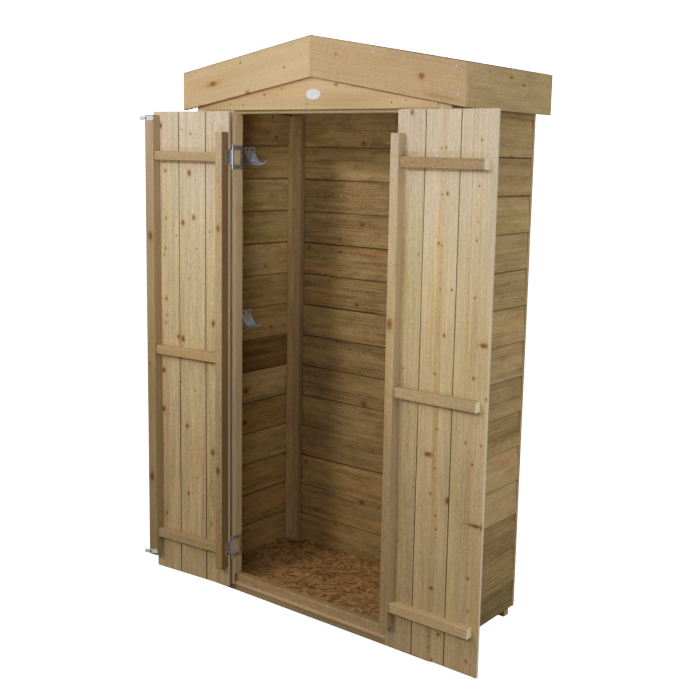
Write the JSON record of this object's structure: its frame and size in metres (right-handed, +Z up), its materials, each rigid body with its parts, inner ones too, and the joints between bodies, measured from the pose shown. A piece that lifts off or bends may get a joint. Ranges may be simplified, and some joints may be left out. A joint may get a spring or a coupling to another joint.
{
  "type": "garden storage cabinet",
  "caption": "Tall outdoor timber tool cabinet with an apex roof, overlap-boarded walls and a pair of ledged doors that swing fully open on side hinges.",
  "frame": {"origin": "on the ground under the middle of the carcass, on the underside of the middle floor bearer", "axes": "+Z up, +X to the right seen from the front, +Y to the back; the doorway faces -Y"},
  "size_m": [1.3365, 0.561, 1.8276],
  "materials": {
    "pine_boards": "sawn treated softwood, pale tan with a green cast",
    "pine_roof_boards": "planed treated softwood, honey tan",
    "pine_wall_boards": "sawn treated softwood, olive brown",
    "pine_battens": "sawn treated softwood battens",
    "strand_board": "oriented strand board",
    "roof_felt": "dark mineral roofing felt",
    "galvanised": "zinc plated steel, satin",
    "badge": "plain pale plastic"
  },
  "bodies": {
    "carcass": {"back_battens": "pine_battens", "back_boards": "pine_wall_boards", "badge_plate": "badge", "bargeboard_front_left": "pine_roof_boards", "bargeboard_front_right": "pine_roof_boards", "bargeboards_rear": "pine_roof_boards", "corner_trim_left": "pine_boards", "corner_trim_right": "pine_boards", "corner_trims_rear": "pine_boards", "eave_rails": "pine_battens", "fascia_left": "pine_roof_boards", "fascia_right": "pine_roof_boards", "floor_bearers": "pine_battens", "floor_panel": "strand_board", "front_board_left": "pine_boards", "front_board_right": "pine_boards", "gable_board_front": "pine_roof_boards", "gable_board_rear": "pine_roof_boards", "header_batten": "pine_battens", "hinge_frame_leaves": "galvanised", "hinge_frame_screws": "galvanised", "hinge_pins": "galvanised", "jamb_left": "pine_battens", "jamb_right": "pine_battens", "ridge_beam": "pine_battens", "roof_felt": "roof_felt", "roof_nails": "galvanised", "roof_sheet_left": "strand_board", "roof_sheet_right": "strand_board", "side_battens_left": "pine_battens", "side_battens_right": "pine_battens", "side_boards_left": "pine_wall_boards", "side_boards_right": "pine_wall_boards", "threshold_batten": "pine_battens", "tool_hook_lower": "galvanised", "tool_hook_screws": "galvanised", "tool_hook_upper": "galvanised"},
    "left_door": {"left_door_board_hinge": "pine_boards", "left_door_board_middle": "pine_boards", "left_door_board_free": "pine_boards", "left_door_stile": "pine_battens", "left_door_ledges": "pine_battens", "left_door_meeting_batten": "pine_battens", "left_hinge_door_leaves": "galvanised", "left_hinge_door_screws": "galvanised", "left_door_nails": "galvanised", "bolt_keep": "galvanised", "button_screws": "galvanised"},
    "right_door": {"right_door_board_hinge": "pine_boards", "right_door_board_middle": "pine_boards", "right_door_board_free": "pine_boards", "right_door_stile": "pine_battens", "right_door_ledges": "pine_battens", "right_hinge_door_leaves": "galvanised", "right_hinge_door_screws": "galvanised", "right_door_nails": "galvanised", "pad_bolt_body": "galvanised"},
    "button_top": {"turn_button_top": "galvanised"},
    "button_bottom": {"turn_button_bottom": "galvanised"},
    "bolt": {"pad_bolt_slide": "galvanised"}
  },
  "joints": [
    {"name": "left_door_hinge", "type": "hinge", "parent": "carcass", "child": "left_door", "pos_m": [-0.32925, -0.2405, 0.811], "axis": [0, 0, 1], "range_deg": [-4.8, 175.2]},
    {"name": "right_door_hinge", "type": "hinge", "parent": "carcass", "child": "right_door", "pos_m": [0.32925, -0.2405, 0.811], "axis": [0, 0, -1], "range_deg": [-0.6, 179.4]},
    {"name": "button_top_turn", "type": "hinge", "parent": "left_door", "child": "button_top", "pos_m": [-0.64908, -0.31869, 1.585], "axis": [0.0837, -0.9965, 0], "range_deg": [-90, 90]},
    {"name": "button_bottom_turn", "type": "hinge", "parent": "left_door", "child": "button_bottom", "pos_m": [-0.64908, -0.31869, 0.087], "axis": [0.0837, -0.9965, 0], "range_deg": [-90, 90]},
    {"name": "bolt_slide", "type": "slide", "parent": "right_door", "child": "bolt", "axis": [0.9999, -0.0105, 0], "range_m": [0, 0.038]}
  ]
}
